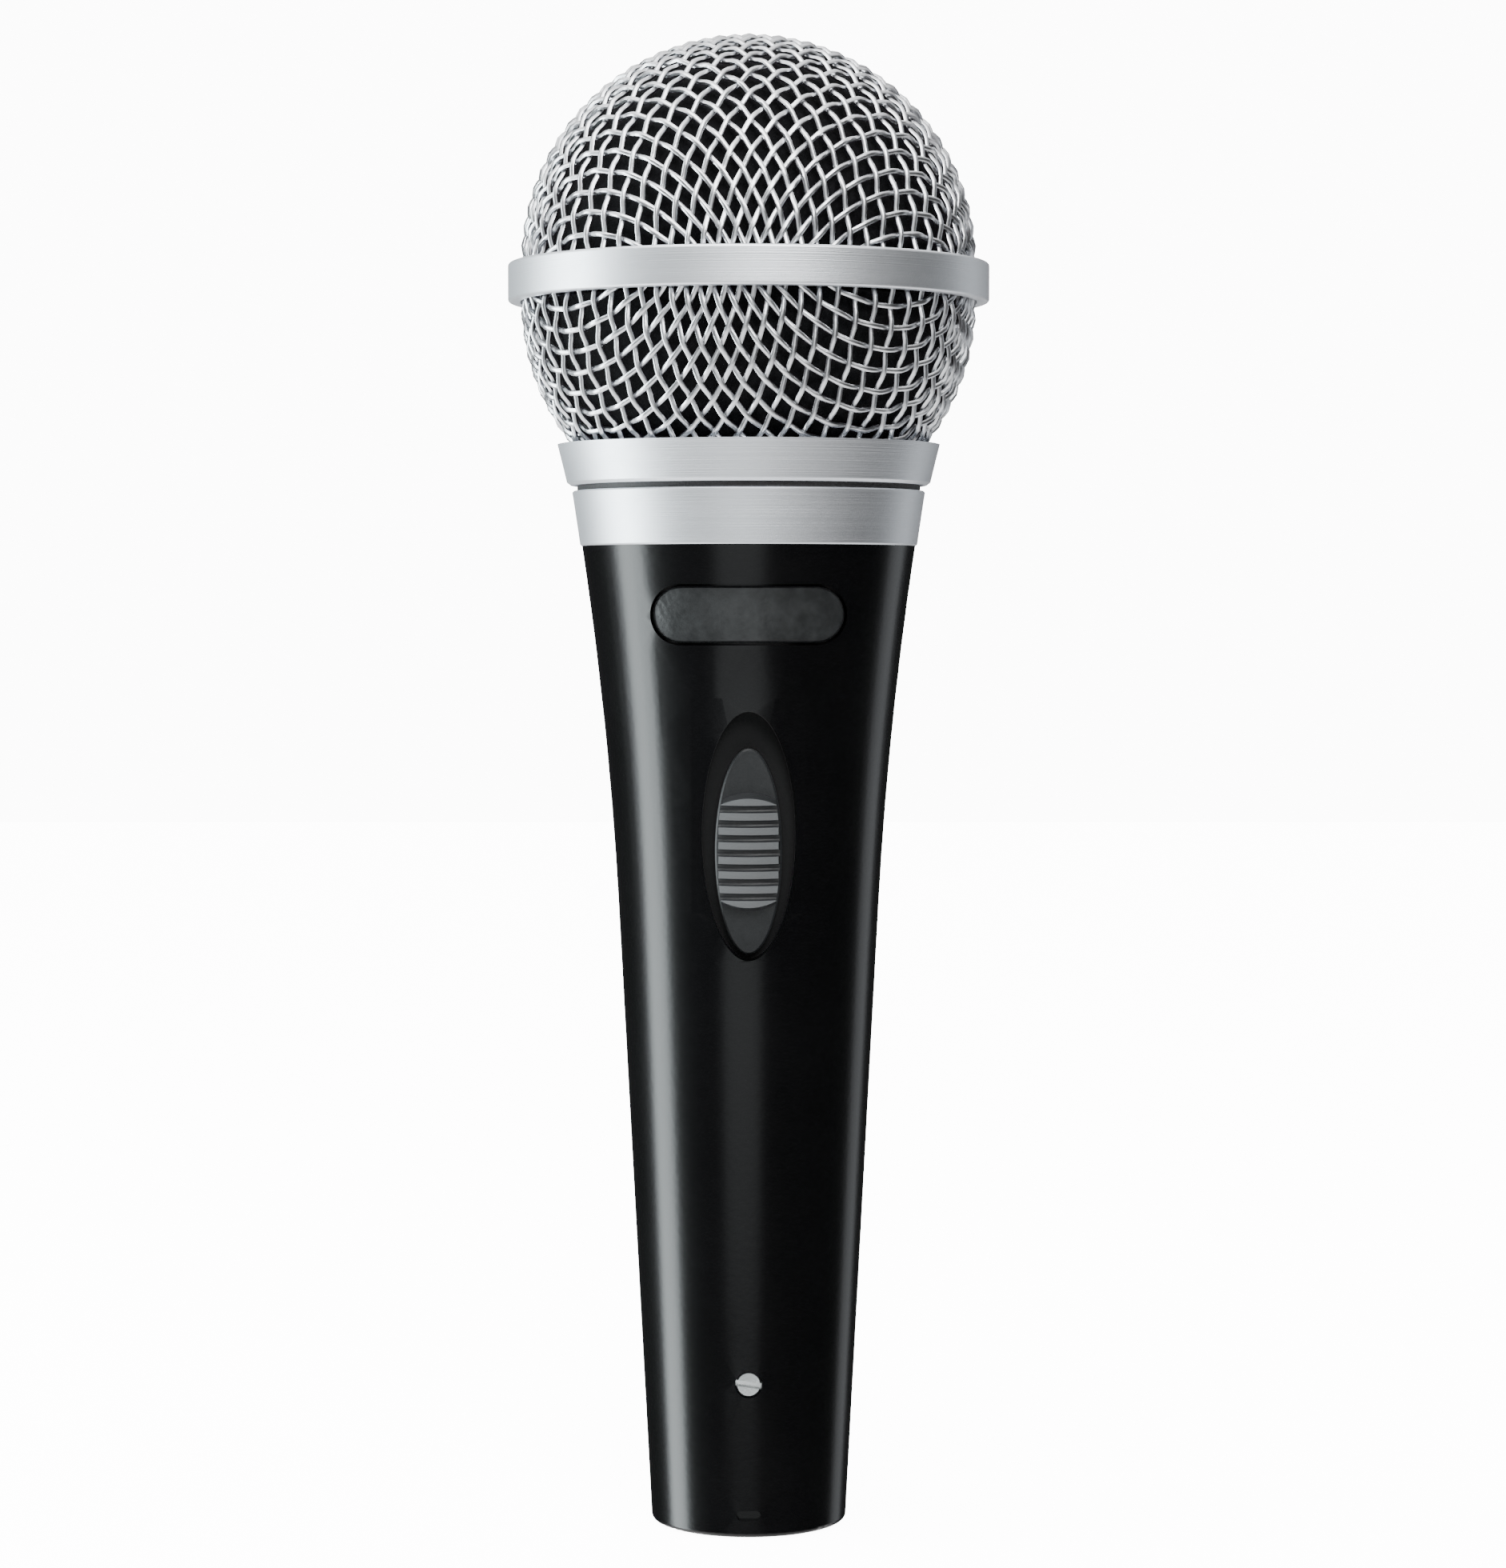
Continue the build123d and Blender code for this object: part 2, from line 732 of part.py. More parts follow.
def make_magnet_carrier():
    """Ring that centres the magnet cup and carries the rim of the diaphragm."""
    body = ring(cup_radius + slip, film_edge_radius, cup_z, film_z)
    for i in range(rear_slots):
        cutter = Pos(film_edge_radius, 0, (cup_z + film_z) / 2) * Cylinder(0.6, 2 * coil_height)
        body -= Rot(0, 0, (i + 0.5) * 360 / rear_slots) * cutter
    return body


def make_voice_coil():
    return ring(coil_radius, coil_outer_radius, film_z - coil_height, film_z)


def make_dome():
    """Thin spherical cap over the voice coil."""
    edge = coil_outer_radius
    radius = (edge * edge + dome_height * dome_height) / (2 * dome_height)
    centre = Pos(0, 0, film_z + film + dome_height - radius)
    shell = centre * Sphere(radius) - centre * Sphere(radius - film)
    return shell & ring(0, edge, film_z, film_z + 2 * dome_height)


def make_surround():
    """Rolled edge of the diaphragm, from the dome out to the clamped rim."""
    start = coil_outer_radius + slip / 2
    middle = (start + surround_outer_radius) / 2

    def roll(z):
        return ThreePointArc(
            (start, z), (middle, z + surround_roll), (surround_outer_radius, z)
        )

    upper, lower = roll(film_z + film), roll(film_z)
    return lathe([
        upper, Line(upper @ 1, (film_edge_radius, film_z + film)),
        Line((film_edge_radius, film_z + film), (film_edge_radius, film_z)),
        Line((film_edge_radius, film_z), lower @ 1), lower, Line(lower @ 0, upper @ 0),
    ])


def make_clamp_ring():
    low_z = film_z + film
    return ring(surround_outer_radius, film_edge_radius, low_z, low_z + clamp_ring_height)


def make_resonator_cap():
    top_z = housing_top_z + cap_height
    seat_z = film_z + film + clamp_ring_height
    inner = surround_outer_radius
    cap = turned(
        (inner, seat_z), (film_edge_radius, seat_z), (film_edge_radius, housing_top_z),
        (cartridge_radius, housing_top_z), (cartridge_radius, top_z), (0, top_z),
        (0, top_z - cap_plate), (inner, top_z - cap_plate),
    )
    rim = cap.edges().filter_by(GeomType.CIRCLE).sort_by(Axis.Z)[-1]
    cap = fillet(rim, 1.2)
    for count, radius in ((1, 0), (6, 0.3 * cartridge_radius), (12, 0.6 * cartridge_radius)):
        for i in range(count):
            hole = Pos(radius, 0, top_z) * Cylinder(cap_hole_radius, 3 * cap_plate)
            cap -= Rot(0, 0, i * 360 / count) * hole
    return cap


def make_front_cloth():
    top_z = housing_top_z + cap_height - cap_plate
    return ring(0, surround_outer_radius - slip, top_z - cloth_thickness, top_z)


def make_felt():
    return ring(0, housing_inner_radius - slip, felt_z, cup_z)


def make_terminal_board():
    body = ring(0, board_radius, cartridge_z - board_thickness, cartridge_z)
    for side in (-1, 1):
        body -= Pos(side * cartridge_lug_x, 0, cartridge_z) * Box(0.6, 1.6, 4 * board_thickness)
    return body


def make_cartridge_lugs():
    length = board_thickness + cartridge_lug_length
    lugs = [
        Pos(side * cartridge_lug_x, 0, cartridge_z - length / 2) * Box(0.6, 1.6, length)
        for side in (-1, 1)
    ]
    return Compound(children=lugs)


# grille


def make_band():
    inner = mesh_radius + slip
    rib_low = band_middle_z - band_rib_height / 2
    rib_high = band_middle_z + band_rib_height / 2
    band = turned(
        (inner, band_z), (band_radius, band_z), (band_radius, band_top_z), (inner, band_top_z),
        (inner, rib_high), (inner - band_rib_depth, rib_high),
        (inner - band_rib_depth, rib_low), (inner, rib_low),
    )
    rims = band.edges().filter_by(GeomType.CIRCLE).sort_by(SortBy.RADIUS)[-2:]
    return fillet(rims, band_edge)


def make_collar():
    """Threaded ring with a channel in its top that holds the foot of the bowl."""
    bore = neck_radius + thread_clearance
    channel_outer = collar_top_radius - collar_lip
    channel_inner = mesh_foot_radius - mesh_thickness - slip
    floor_z = collar_top_z - mesh_skirt
    body = turned(
        (bore, collar_z), (collar_bottom_radius, collar_z), (collar_top_radius, collar_top_z),
        (channel_outer, collar_top_z), (channel_outer, floor_z), (channel_inner, floor_z),
        (channel_inner, collar_top_z), (bore, collar_top_z),
    )
    outside = body.edges().filter_by(GeomType.CIRCLE).sort_by(SortBy.RADIUS)
    low_edge = [e for e in outside if abs(e.radius - collar_bottom_radius) < 1e-6]
    return chamfer(low_edge, silver_edge)


def make_gasket():
    bore = neck_radius + thread_clearance
    outer = neck_ring_top_radius - 0.6
    return ring(bore, outer, ring_top_z, collar_z)


def make_upper_mesh():
    low = band_middle_z + band_rib_height / 2 + slip
    return dome_shell(mesh_radius, mesh_radius - mesh_thickness, band_top_z, low)


def make_lower_mesh():
    foot = collar_top_z - mesh_skirt
    top = band_middle_z - band_rib_height / 2 - slip
    return bowl_shell(0, mesh_thickness, foot, top)


def make_upper_foam():
    outer = mesh_radius - mesh_thickness - slip
    return dome_shell(outer, outer - foam_thickness, band_top_z, band_middle_z + slip)


def make_lower_foam():
    outset = mesh_thickness + slip
    foam = bowl_shell(outset, outset + foam_thickness, collar_top_z - mesh_skirt, band_middle_z)
    keep = ring(0, 2 * mesh_radius, collar_top_z + slip, band_middle_z - slip)
    return foam & keep


# leads


def lead(points):
    """Insulated wire along straight runs joined by round bends."""
    path = FilletPolyline(*points, radius=lead_bend)
    start = Plane(origin=path @ 0, z_dir=path % 0)
    return sweep(start * Circle(lead_radius), path=path)


def lug_tip(side, row):
    """Inner end of one switch terminal, and a point further in towards the middle."""
    x = side * lug_spacing / 2
    y = switch_body_middle() + row * lug_pitch
    tip = switch_plane.from_local_coords((x, y, lug_tip_depth()))
    inner = switch_plane.from_local_coords((x, y, lug_tip_depth() - 3.6))
    return tip, inner


def make_upper_lead(side):
    tip, inner = lug_tip(side, 1)
    end_z = cartridge_z - board_thickness - cartridge_lug_length
    above = Vector(side * cartridge_lug_x, 0, end_z - 6)
    return lead([tip, inner, above, Vector(above.X, above.Y, end_z)])


def make_lower_lead(side, number):
    tip, inner = lug_tip(side, -1)
    x, y = pin_place(number)
    end_z = insert_top_z + 1.0
    return lead([tip, inner, Vector(x, y, end_z + 12), Vector(x, y, end_z)])


# the parts

parts = {
    "handle": make_handle(),
    "neck_ring": make_neck_ring(),
    "nameplate": make_nameplate(),
    "xlr_insert": make_insert(),
    "xlr_pin_1": make_pin(1),
    "xlr_pin_2": make_pin(2),
    "xlr_pin_3": make_pin(3),
    "xlr_lock_screw": make_lock_screw(),
    "xlr_ground_tab": make_ground_tab(),
    "switch_knob": make_knob(),
    "switch_plate": make_switch_plate(),
    "switch_screws": make_switch_screws(),
    "switch_housing": make_switch_housing(),
    "switch_lugs": make_switch_lugs(),
    "switch_lever": make_switch_lever(),
    "switch_contacts": make_switch_contacts(),
    "cartridge_housing": make_cartridge_housing(),
    "shock_mount": make_shock_mount(),
    "magnet_cup": make_magnet_cup(),
    "magnet": ring(0, magnet_radius, magnet_z, pole_z),
    "pole_piece": ring(0, pole_radius, pole_z, pole_top_z),
    "magnet_carrier": make_magnet_carrier(),
    "voice_coil": make_voice_coil(),
    "diaphragm_dome": make_dome(),
    "diaphragm_surround": make_surround(),
    "diaphragm_clamp_ring": make_clamp_ring(),
    "resonator_cap": make_resonator_cap(),
    "front_cloth": make_front_cloth(),
    "damping_felt": make_felt(),
    "terminal_board": make_terminal_board(),
    "cartridge_lugs": make_cartridge_lugs(),
    "grille_band": make_band(),
    "grille_collar": make_collar(),
    "grille_gasket": make_gasket(),
    "upper_mesh": make_upper_mesh(),
    "lower_mesh": make_lower_mesh(),
    "upper_foam": make_upper_foam(),
    "lower_foam": make_lower_foam(),
    "lead_cartridge_hot": make_upper_lead(1),
    "lead_cartridge_cold": make_upper_lead(-1),
    "lead_output_hot": make_lower_lead(1, 2),
    "lead_output_cold": make_lower_lead(-1, 3),
}

os.makedirs("parts", exist_ok=True)
for name, shape in parts.items():
    export_step(shape, f"parts/{name}.step")

print("overall height", round(band_top_z + mesh_radius, 2))
print("widest", round(2 * band_radius, 2))
print("switch travel", round(switch_travel, 3), "tilt", round(degrees(switch_tilt), 3))
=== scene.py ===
import bpy
import bmesh
import json
from math import cos, pi, radians, sin
from mathutils import Matrix, Vector


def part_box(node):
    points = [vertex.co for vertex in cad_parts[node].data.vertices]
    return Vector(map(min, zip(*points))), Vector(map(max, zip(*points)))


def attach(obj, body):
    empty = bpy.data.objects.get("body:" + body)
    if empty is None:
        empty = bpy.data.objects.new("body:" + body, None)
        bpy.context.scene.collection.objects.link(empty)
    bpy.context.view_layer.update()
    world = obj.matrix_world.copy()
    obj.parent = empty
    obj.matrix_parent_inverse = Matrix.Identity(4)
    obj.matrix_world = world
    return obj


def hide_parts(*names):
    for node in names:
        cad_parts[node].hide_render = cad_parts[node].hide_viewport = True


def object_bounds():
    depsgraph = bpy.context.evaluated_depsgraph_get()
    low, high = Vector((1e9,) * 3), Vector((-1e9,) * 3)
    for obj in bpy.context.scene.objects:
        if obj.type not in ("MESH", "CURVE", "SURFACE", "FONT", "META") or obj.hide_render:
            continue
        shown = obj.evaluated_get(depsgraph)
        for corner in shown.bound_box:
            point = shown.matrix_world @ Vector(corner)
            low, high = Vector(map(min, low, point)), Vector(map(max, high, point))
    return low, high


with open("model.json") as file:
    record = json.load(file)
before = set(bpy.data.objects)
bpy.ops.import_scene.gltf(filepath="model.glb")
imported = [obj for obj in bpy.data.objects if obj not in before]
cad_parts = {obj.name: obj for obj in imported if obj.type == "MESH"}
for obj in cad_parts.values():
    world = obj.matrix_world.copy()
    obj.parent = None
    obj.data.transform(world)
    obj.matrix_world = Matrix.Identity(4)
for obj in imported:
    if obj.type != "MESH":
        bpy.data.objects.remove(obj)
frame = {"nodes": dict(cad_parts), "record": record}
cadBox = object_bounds()
mm = 0.001


# small helpers for working as by hand

def clearSelection():
    if bpy.context.object and bpy.context.object.mode != "OBJECT":
        bpy.ops.object.mode_set(mode="OBJECT")
    bpy.ops.object.select_all(action="DESELECT")


def makeActive(piece):
    clearSelection()
    piece.select_set(True)
    bpy.context.view_layer.objects.active = piece


def named(name):
    piece = bpy.context.object
    piece.name = name
    piece.data.name = name
    return piece


def pickFaces(piece, test):
    # leaves the piece in edit mode with only the faces that pass the test selected
    makeActive(piece)
    bpy.ops.object.mode_set(mode="EDIT")
    bpy.ops.mesh.select_mode(type="FACE")
    bpy.ops.mesh.select_all(action="DESELECT")
    mesh = bmesh.from_edit_mesh(piece.data)
    for face in mesh.faces:
        face.select = test(face)
    mesh.select_flush(True)
    bmesh.update_edit_mesh(piece.data)


def leaveEdit():
    bpy.ops.object.mode_set(mode="OBJECT")


def applyAll(piece):
    makeActive(piece)
    for modifier in list(piece.modifiers):
        bpy.ops.object.modifier_apply(modifier=modifier.name)


def settle(piece):
    # place goes into the mesh, so the object sits at the origin
    makeActive(piece)
    bpy.ops.object.transform_apply(location=True, rotation=True, scale=True)


def outward(piece):
    makeActive(piece)
    bpy.ops.object.mode_set(mode="EDIT")
    bpy.ops.mesh.select_all(action="SELECT")
    bpy.ops.mesh.remove_doubles(threshold=0.000005)
    bpy.ops.mesh.normals_make_consistent(inside=False)
    leaveEdit()


def smooth(piece, angle=35):
    makeActive(piece)
    bpy.ops.object.shade_smooth_by_angle(angle=radians(angle))


# shader groups shared by the finishes

def newGroup(name, inputs, outputs):
    group = bpy.data.node_groups.new(name, "ShaderNodeTree")
    for label, kind, value in inputs:
        socket = group.interface.new_socket(name=label, in_out="INPUT", socket_type=kind)
        socket.default_value = value
    for label, kind in outputs:
        group.interface.new_socket(name=label, in_out="OUTPUT", socket_type=kind)
    start = group.nodes.new("NodeGroupInput")
    end = group.nodes.new("NodeGroupOutput")
    return group, start, end


def addNode(tree, kind, inputs=None, **settings):
    node = tree.nodes.new(kind)
    for key, value in settings.items():
        setattr(node, key, value)
    for key, value in (inputs or {}).items():
        if isinstance(value, bpy.types.NodeSocket):
            tree.links.new(value, node.inputs[key])
        else:
            node.inputs[key].default_value = value
    return node


def noiseNode(tree, place, scale, detail=3.0, rough=0.5):
    return addNode(tree, "ShaderNodeTexNoise", {
        "Vector": place, "Scale": scale, "Detail": detail, "Roughness": rough})


def mixColour(tree, factor, first, second, blend="MIX"):
    node = addNode(tree, "ShaderNodeMix", data_type="RGBA", blend_type=blend)
    for key, value in ((0, factor), (6, first), (7, second)):
        if isinstance(value, bpy.types.NodeSocket):
            tree.links.new(value, node.inputs[key])
        else:
            node.inputs[key].default_value = value
    return node.outputs[2]


def mathNode(tree, operation, first, second=0.0, clamp=False):
    node = addNode(tree, "ShaderNodeMath", operation=operation, use_clamp=clamp)
    for key, value in ((0, first), (1, second)):
        if isinstance(value, bpy.types.NodeSocket):
            tree.links.new(value, node.inputs[key])
        else:
            node.inputs[key].default_value = value
    return node.outputs[0]


def remap(tree, value, low, high, newLow, newHigh):
    node = addNode(tree, "ShaderNodeMapRange", {
        "Value": value, "From Min": low, "From Max": high, "To Min": newLow, "To Max": newHigh})
    return node.outputs["Result"]


def makeHandWear():
    # slow patches and fine specks, as on a surface that is often held
    group, start, end = newGroup("handWear", [
        ("Color", "NodeSocketColor", (0.5, 0.5, 0.5, 1)),
        ("Worn Color", "NodeSocketColor", (0.6, 0.6, 0.6, 1)),
        ("Roughness", "NodeSocketFloat", 0.3),
        ("Spread", "NodeSocketFloat", 0.08),
        ("Patch Scale", "NodeSocketFloat", 60.0),
        ("Speck Scale", "NodeSocketFloat", 900.0),
        ("Wear", "NodeSocketFloat", 0.2),
    ], [("Color", "NodeSocketColor"), ("Roughness", "NodeSocketFloat")])
    place = addNode(group, "ShaderNodeTexCoord").outputs["Object"]
    patches = noiseNode(group, place, start.outputs["Patch Scale"], 4.0, 0.55).outputs["Fac"]
    specks = noiseNode(group, place, start.outputs["Speck Scale"], 2.0, 0.6).outputs["Fac"]
    both = mathNode(group, "ADD", mathNode(group, "MULTIPLY", patches, 0.7),
                    mathNode(group, "MULTIPLY", specks, 0.3))
    mask = mathNode(group, "MULTIPLY", remap(group, both, 0.42, 0.68, 0.0, 1.0),
                    start.outputs["Wear"], clamp=True)
    colour = mixColour(group, mask, start.outputs["Color"], start.outputs["Worn Color"])
    offset = mathNode(group, "MULTIPLY", mathNode(group, "SUBTRACT", both, 0.5),
                      start.outputs["Spread"])
    rough = mathNode(group, "ADD", start.outputs["Roughness"], mathNode(group, "MULTIPLY", offset, 4.0),
                     clamp=True)
    group.links.new(colour, end.inputs["Color"])
    group.links.new(rough, end.inputs["Roughness"])
    return group


def makeLatheLines():
    # fine rings round the microphone's axis, left by turning
    group, start, end = newGroup("latheLines", [
        ("Pitch", "NodeSocketFloat", 5000.0),
    ], [("Height", "NodeSocketFloat")])
    place = addNode(group, "ShaderNodeTexCoord").outputs["Object"]
    split = addNode(group, "ShaderNodeSeparateXYZ", {"Vector": place})
    squares = mathNode(group, "ADD", mathNode(group, "MULTIPLY", split.outputs["X"], split.outputs["X"]),
                       mathNode(group, "MULTIPLY", split.outputs["Y"], split.outputs["Y"]))
    radius = mathNode(group, "SQRT", squares)
    across = addNode(group, "ShaderNodeCombineXYZ", {"X": radius, "Z": split.outputs["Z"]})
    lines = noiseNode(group, across.outputs["Vector"], start.outputs["Pitch"], 2.0, 0.7).outputs["Fac"]
    group.links.new(lines, end.inputs["Height"])
    return group


def makeGrain():
    # moulded or cast grain: rounded cells of one size
    group, start, end = newGroup("mouldGrain", [
        ("Scale", "NodeSocketFloat", 2500.0),
    ], [("Height", "NodeSocketFloat")])
    place = addNode(group, "ShaderNodeTexCoord").outputs["Object"]
    cells = addNode(group, "ShaderNodeTexVoronoi", {"Vector": place, "Scale": start.outputs["Scale"]},
                    feature="SMOOTH_F1")
    fine = noiseNode(group, place, mathNode(group, "MULTIPLY", start.outputs["Scale"], 2.3), 2.0)
    grain = mathNode(group, "ADD", cells.outputs["Distance"],
                     mathNode(group, "MULTIPLY", fine.outputs["Fac"], 0.4))
    group.links.new(grain, end.inputs["Height"])
    return group


def makeWeaveCloth():
    # plain weave of threads along two directions
    group, start, end = newGroup("clothWeave", [
        ("Scale", "NodeSocketFloat", 9000.0),
    ], [("Height", "NodeSocketFloat")])
    place = addNode(group, "ShaderNodeTexCoord").outputs["Object"]
    split = addNode(group, "ShaderNodeSeparateXYZ", {"Vector": place})
    waves = []
    for axis in ("X", "Y"):
        turned = mathNode(group, "MULTIPLY", split.outputs[axis], start.outputs["Scale"])
        waves.append(mathNode(group, "SINE", turned))
    product = mathNode(group, "MULTIPLY", waves[0], waves[1])
    group.links.new(remap(group, product, -1.0, 1.0, 0.0, 1.0), end.inputs["Height"])
    return group


switchLook = {
    "crownRadius": 10.5 * mm,    # curve of the ribbed grip across its width
    "groove": 0.10 * mm,         # depth below which a groove gets painted shade
    "grooveFade": 0.06 * mm,     # over which a rib's side turns from painted shade to painted highlight
    "recessWidth": 10.6 * mm,
    "recessGap": 0.65 * mm,      # between the knob's end and the recess
    "recessEdge": 0.97,          # share of the oval where its floor starts to fade out
}

slide = next(j for j in frame["record"]["behaviour"]["joints"] if j["name"] == "switch_slide")
slideWay = Vector(slide["axis"])
knobLow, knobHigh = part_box("switch_knob")


def makeRibPaintedLight():
    # painted highlight and shade: one on the knob's raised ribs, none in its grooves or on its flat ends, so
    # the ribs are painted lit and the grooves painted in shade
    group, _, end = newGroup("ribPaintedLight", [], [("Mask", "NodeSocketFloat")])
    outside = Vector((0, -slideWay.z, slideWay.y))
    knobMesh = frame["nodes"]["switch_knob"].data
    crown = max(vertex.co.dot(outside) for vertex in knobMesh.vertices)
    place = addNode(group, "ShaderNodeTexCoord").outputs["Object"]
    reach = addNode(group, "ShaderNodeVectorMath", {0: place, 1: outside}, operation="DOT_PRODUCT")
    rise = mathNode(group, "ADD", reach.outputs["Value"], switchLook["crownRadius"] - crown)
    across = addNode(group, "ShaderNodeSeparateXYZ", {"Vector": place}).outputs["X"]
    squares = mathNode(group, "ADD", mathNode(group, "MULTIPLY", rise, rise),
                       mathNode(group, "MULTIPLY", across, across))
    fromAxis = mathNode(group, "SQRT", squares)
    low = switchLook["crownRadius"] - switchLook["groove"]
    mask = remap(group, fromAxis, low, low + switchLook["grooveFade"], 0.0, 1.0)
    group.links.new(mask, end.inputs["Mask"])
    return group


def makeRecessFloor():
    # one inside the long oval recess that the knob slides in
    group, _, end = newGroup("recessFloor", [], [("Mask", "NodeSocketFloat")])
    travel = slide["range_m"][1] * slideWay.z
    low = knobLow.z - switchLook["recessGap"]
    high = knobHigh.z + travel + switchLook["recessGap"]
    place = addNode(group, "ShaderNodeTexCoord").outputs["Object"]
    split = addNode(group, "ShaderNodeSeparateXYZ", {"Vector": place})
    across = mathNode(group, "DIVIDE", split.outputs["X"], switchLook["recessWidth"] / 2)
    along = mathNode(group, "DIVIDE", mathNode(group, "SUBTRACT", split.outputs["Z"], (low + high) / 2),
                     (high - low) / 2)
    oval = mathNode(group, "ADD", mathNode(group, "MULTIPLY", across, across),
                    mathNode(group, "MULTIPLY", along, along))
    inside = remap(group, oval, switchLook["recessEdge"], 1.0, 1.0, 0.0)
    front = mathNode(group, "LESS_THAN", split.outputs["Y"], 0.0)
    group.links.new(mathNode(group, "MULTIPLY", inside, front), end.inputs["Mask"])
    return group


handWear = makeHandWear()
latheLines = makeLatheLines()
mouldGrain = makeGrain()
clothWeave = makeWeaveCloth()
overlays = {"ribPaintedLight": makeRibPaintedLight(), "recessFloor": makeRecessFloor()}
print("shader groups ready")


finishes = {
    "blackLacquer": {"color": (0.0008, 0.0009, 0.0011), "worn": (0.0022, 0.0023, 0.0026), "rough": 0.24,
                     "metal": 0.0, "wear": 0.3, "spread": 0.012, "shine": 0.3, "grain": 1500, "bump": 0.04,
                     "overlay": "recessFloor", "overlayColor": (0.0008, 0.0009, 0.0011),
                     "overlayRough": 0.85},
    "mattSilver": {"color": (0.73, 0.755, 0.79), "worn": (0.66, 0.68, 0.715), "rough": 0.45,
                   "metal": 1.0, "wear": 0.5, "spread": 0.03, "lathe": 7000, "bump": 0.35},
    "silverWire": {"color": (0.68, 0.69, 0.71), "worn": (0.52, 0.53, 0.55), "rough": 0.33,
                   "metal": 1.0, "wear": 0.6, "patch": 260, "grain": 4200, "bump": 0.10},
    "popFoam": {"color": (0.0025, 0.0025, 0.003), "worn": (0.008, 0.008, 0.009), "rough": 0.95,
                "metal": 0.0, "wear": 0.7, "shine": 0.1, "patch": 900, "grain": 1700, "bump": 0.9},
    "blackRubber": {"color": (0.012, 0.012, 0.0125), "worn": (0.03, 0.03, 0.03), "rough": 0.62,
                    "metal": 0.0, "wear": 0.5, "grain": 3000, "bump": 0.3},
    "badgePlate": {"color": (0.011, 0.012, 0.0125), "worn": (0.024, 0.026, 0.027), "rough": 0.34,
                   "metal": 0.25, "wear": 0.6, "patch": 420, "grain": 1800, "bump": 0.28},
    # the overlay colour is a painted highlight on the rib lands; the grooves keep the dark base colour as
    # painted shade
    "knobPlastic": {"color": (0.0065, 0.0075, 0.0082), "worn": (0.013, 0.014, 0.015), "rough": 0.46,
                    "metal": 0.0, "wear": 0.4, "shine": 0.3, "patch": 300, "grain": 3800, "bump": 0.15,
                    "overlay": "ribPaintedLight", "overlayColor": (0.062, 0.066, 0.068), "overlayRough": 0.42},
    "switchPlastic": {"color": (0.05, 0.032, 0.02), "worn": (0.08, 0.055, 0.035), "rough": 0.32,
                      "metal": 0.0, "wear": 0.4, "grain": 3000, "bump": 0.15},
    "brightSteel": {"color": (0.62, 0.63, 0.63), "worn": (0.42, 0.43, 0.43), "rough": 0.28,
                    "metal": 1.0, "wear": 0.5, "patch": 500, "grain": 4000, "bump": 0.08},
    "tinnedSteel": {"color": (0.62, 0.61, 0.57), "worn": (0.45, 0.44, 0.42), "rough": 0.34,
                    "metal": 1.0, "wear": 0.7, "patch": 350, "grain": 2600, "bump": 0.2},
    "platedBrass": {"color": (0.78, 0.66, 0.42), "worn": (0.62, 0.5, 0.3), "rough": 0.24,
                    "metal": 1.0, "wear": 0.6, "patch": 420, "lathe": 9000, "bump": 0.1},
    "insertPlastic": {"color": (0.012, 0.012, 0.013), "worn": (0.03, 0.03, 0.031), "rough": 0.5,
                      "metal": 0.0, "wear": 0.5, "grain": 2600, "bump": 0.35},
    "cartridgePlastic": {"color": (0.018, 0.018, 0.02), "worn": (0.04, 0.04, 0.042), "rough": 0.38,
                         "metal": 0.0, "wear": 0.45, "grain": 2400, "bump": 0.2},
    "magnetAlloy": {"color": (0.17, 0.17, 0.175), "worn": (0.10, 0.10, 0.10), "rough": 0.6,
                    "metal": 0.8, "wear": 0.8, "patch": 300, "grain": 1800, "bump": 0.5},
    "platedIron": {"color": (0.48, 0.48, 0.49), "worn": (0.33, 0.33, 0.34), "rough": 0.3,
                   "metal": 1.0, "wear": 0.6, "lathe": 6000, "bump": 0.18},
    "copperWire": {"color": (0.62, 0.27, 0.12), "worn": (0.4, 0.16, 0.07), "rough": 0.3,
                   "metal": 1.0, "wear": 0.4, "lathe": 9000, "bump": 0.7},
    "diaphragmFilm": {"color": (0.36, 0.30, 0.14), "worn": (0.5, 0.44, 0.26), "rough": 0.16,
                      "metal": 0.0, "wear": 0.3, "patch": 200, "lathe": 2500, "bump": 0.2},
    "acousticCloth": {"color": (0.02, 0.02, 0.021), "worn": (0.05, 0.05, 0.05), "rough": 0.9,
                      "metal": 0.0, "wear": 0.7, "cloth": 14000, "bump": 0.7},
    "greyFelt": {"color": (0.17, 0.165, 0.155), "worn": (0.26, 0.25, 0.24), "rough": 0.95,
                 "metal": 0.0, "wear": 0.8, "patch": 700, "grain": 2000, "bump": 1.0},
    "phenolicBoard": {"color": (0.12, 0.055, 0.02), "worn": (0.18, 0.09, 0.04), "rough": 0.4,
                      "metal": 0.0, "wear": 0.6, "patch": 400, "cloth": 5000, "bump": 0.15},
    "redLead": {"color": (0.32, 0.012, 0.01), "worn": (0.45, 0.04, 0.03), "rough": 0.42,
                "metal": 0.0, "wear": 0.4, "grain": 2500, "bump": 0.15},
    "blueLead": {"color": (0.012, 0.04, 0.24), "worn": (0.03, 0.08, 0.34), "rough": 0.42,
                 "metal": 0.0, "wear": 0.4, "grain": 2500, "bump": 0.15},
}


bumpDepth = 0.1 * mm


